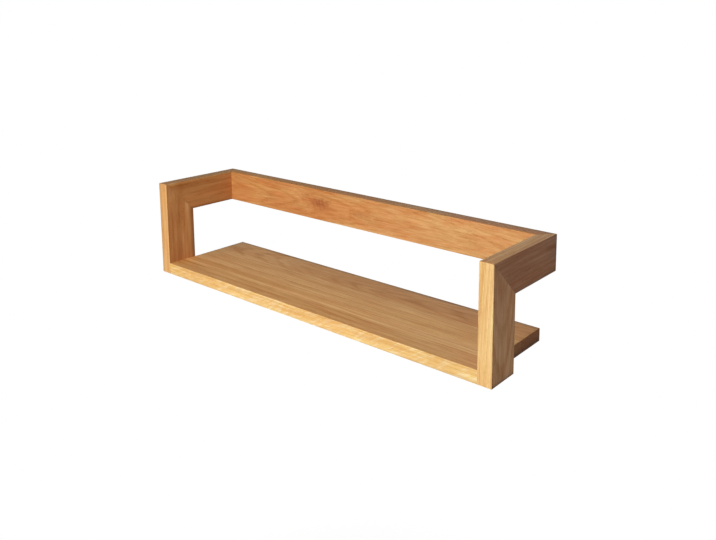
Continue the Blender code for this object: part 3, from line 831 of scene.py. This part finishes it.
def glue_line(name, centre, along, up, width, height, ease=CORNER_EASE):
    """A flat closed frame of glue just inside the edges of a joint's face."""
    along, up = Vector(along).normalized(), Vector(up).normalized()
    square = along.cross(up)
    outlines = [
        rounded_corners(width - 2 * inset, height - 2 * inset, ease)
        for inset in (GLUE_INSET, GLUE_INSET + GLUE_DEPTH)
    ]
    bm = bmesh.new()
    outer_low, outer_high, inner_low, inner_high = (
        [bm.verts.new(Vector(centre) + along * a + up * b + square * off) for a, b in outline]
        for outline in outlines
        for off in (-GLUE_THICKNESS / 2, GLUE_THICKNESS / 2)
    )
    for first, second in (
        (outer_low, outer_high), (outer_high, inner_high),
        (inner_high, inner_low), (inner_low, outer_low),
    ):
        for index in range(len(first)):
            after = (index + 1) % len(first)
            bm.faces.new((first[index], first[after], second[after], second[index]))
    bmesh.ops.recalc_face_normals(bm, faces=bm.faces)
    mesh = bpy.data.meshes.new(name)
    bm.to_mesh(mesh)
    bm.free()
    mesh.materials.append(glue(name))
    piece = add_object(name, mesh)
    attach(piece, "root")


def add_glue_lines():
    """Two mitres, two back corners, two board ends and the two seams between the staves."""
    thickness = OUTER_X - INNER_X
    rail_height = TOP_Z - RAIL_BOTTOM_Z
    rail_middle = (TOP_Z + RAIL_BOTTOM_Z) / 2
    board_height = BOARD_TOP_Z - BOTTOM_Z
    board_middle = (BOARD_TOP_Z + BOTTOM_Z) / 2
    for side, sign in (("left", -1), ("right", 1)):
        middle_x = sign * (OUTER_X + INNER_X) / 2
        glue_line(
            f"{side}_mitre_glue_line",
            (middle_x, (FRONT_Y + POST_BACK_Y) / 2, rail_middle),
            (1, 0, 0), (0, -1, 1), thickness, rail_height * math.sqrt(2),
        )
        glue_line(
            f"{side}_corner_glue_line",
            (middle_x, RAIL_FRONT_Y / 2, rail_middle),
            (sign, 1, 0), (0, 0, 1), thickness * math.sqrt(2), rail_height,
        )
        glue_line(
            f"{side}_board_glue_line",
            (sign * (INNER_X - GLUE_GAP / 2), FRONT_Y + STAVE_WIDTH / 2, board_middle),
            (0, 1, 0), (0, 0, 1), STAVE_WIDTH, board_height, ease=BOARD_END_EASE,
        )
    for count, place in enumerate(("front", "back"), start=1):
        seam_y = FRONT_Y + count * (STAVE_WIDTH + GLUE_GAP) - GLUE_GAP / 2
        glue_line(
            f"{place}_stave_glue_line",
            (0, seam_y, board_middle),
            (1, 0, 0), (0, 0, 1), 2 * (INNER_X - GLUE_GAP), board_height,
        )


# Stage, light and camera


def seen_directly(tree):
    """One for camera, glossy and transmission rays, which see a white studio."""
    path = tree.node("ShaderNodeLightPath")
    seen = tree.math("MAXIMUM", path.outputs["Is Camera Ray"], path.outputs["Is Glossy Ray"])
    return tree.math("MAXIMUM", seen, path.outputs["Is Transmission Ray"])


def add_floor():
    """A pale floor that keeps the shelf's shadow near it and runs out to white."""
    material = bpy.data.materials.new("studio_floor")
    tree = Tree(material)
    tree.nodes.remove(tree.nodes["Principled BSDF"])
    place = tree.object_place()
    away = tree.vector("LENGTH", tree.vector("MULTIPLY", place, (1.0, 1.0, 0.0)))
    matte = tree.node("ShaderNodeBsdfDiffuse")
    tree.feed(matte.inputs["Color"], tree.mix(tree.noise(place, *FLOOR_NOISE), *FLOOR_TONES))
    white = tree.node("ShaderNodeEmission")
    white.inputs["Strength"].default_value = 1.0
    fade = tree.ramp(away, *FLOOR_WHITE_RAMP)
    share = tree.math("MULTIPLY", seen_directly(tree), fade)
    blend = tree.filled("ShaderNodeMixShader", (share, matte.outputs[0], white.outputs[0]))
    tree.feed(tree.nodes["Material Output"].inputs["Surface"], blend.outputs[0])

    bm = bmesh.new()
    bmesh.ops.create_grid(bm, x_segments=FLOOR_GRID, y_segments=FLOOR_GRID, size=FLOOR_SIZE / 2)
    mesh = bpy.data.meshes.new("studio_floor")
    bm.to_mesh(mesh)
    bm.free()
    mesh.materials.append(material)
    floor = add_object("studio_floor", mesh)
    floor.location = (SHELF_CENTRE.x, SHELF_CENTRE.y, FLOOR_Z)


def add_world():
    """White to the eye and in reflections, and a soft grey light from all sides."""
    world = bpy.data.worlds.new("studio")
    bpy.context.scene.world = world
    tree = Tree(world)
    tree.nodes.clear()
    background = tree.node("ShaderNodeBackground")
    tree.feed(background.inputs["Color"], opaque((1.0, 1.0, 1.0)))
    strength = tree.ramp(seen_directly(tree), 0.0, 1.0, AMBIENT_LEVEL, 1.0)
    tree.feed(background.inputs["Strength"], strength)
    output = tree.node("ShaderNodeOutputWorld")
    tree.feed(output.inputs["Surface"], background.outputs[0])


def add_lamps():
    for name, direction, distance, size, level, colour in LAMPS:
        light = bpy.data.lights.new(name, "AREA")
        light.shape = "SQUARE"
        light.size = size
        # A white surface square to the lamp renders at its level
        light.energy = level * math.pi ** 2 * distance ** 2
        light.color = colour
        lamp = add_object(name, light)
        lamp.location = SHELF_CENTRE + Vector(direction).normalized() * distance
        aim = SHELF_CENTRE - lamp.location
        lamp.rotation_euler = aim.to_track_quat("-Z", "Y").to_euler()


def add_camera():
    data = bpy.data.cameras.new("camera")
    data.lens = LENS_MM
    data.sensor_width = SENSOR_MM
    data.sensor_fit = "AUTO"
    data.shift_x, data.shift_y = CAMERA_SHIFT
    data.clip_start, data.clip_end = CAMERA_CLIP
    camera = add_object("camera", data)
    camera.location = CAMERA_PLACE
    camera.rotation_euler = [math.radians(turn) for turn in CAMERA_TURN_DEG]
    bpy.context.scene.camera = camera


dress_solids()
add_glue_lines()
add_floor()
add_world()
add_lamps()
add_camera()
bpy.context.scene.view_settings.view_transform = "Standard"
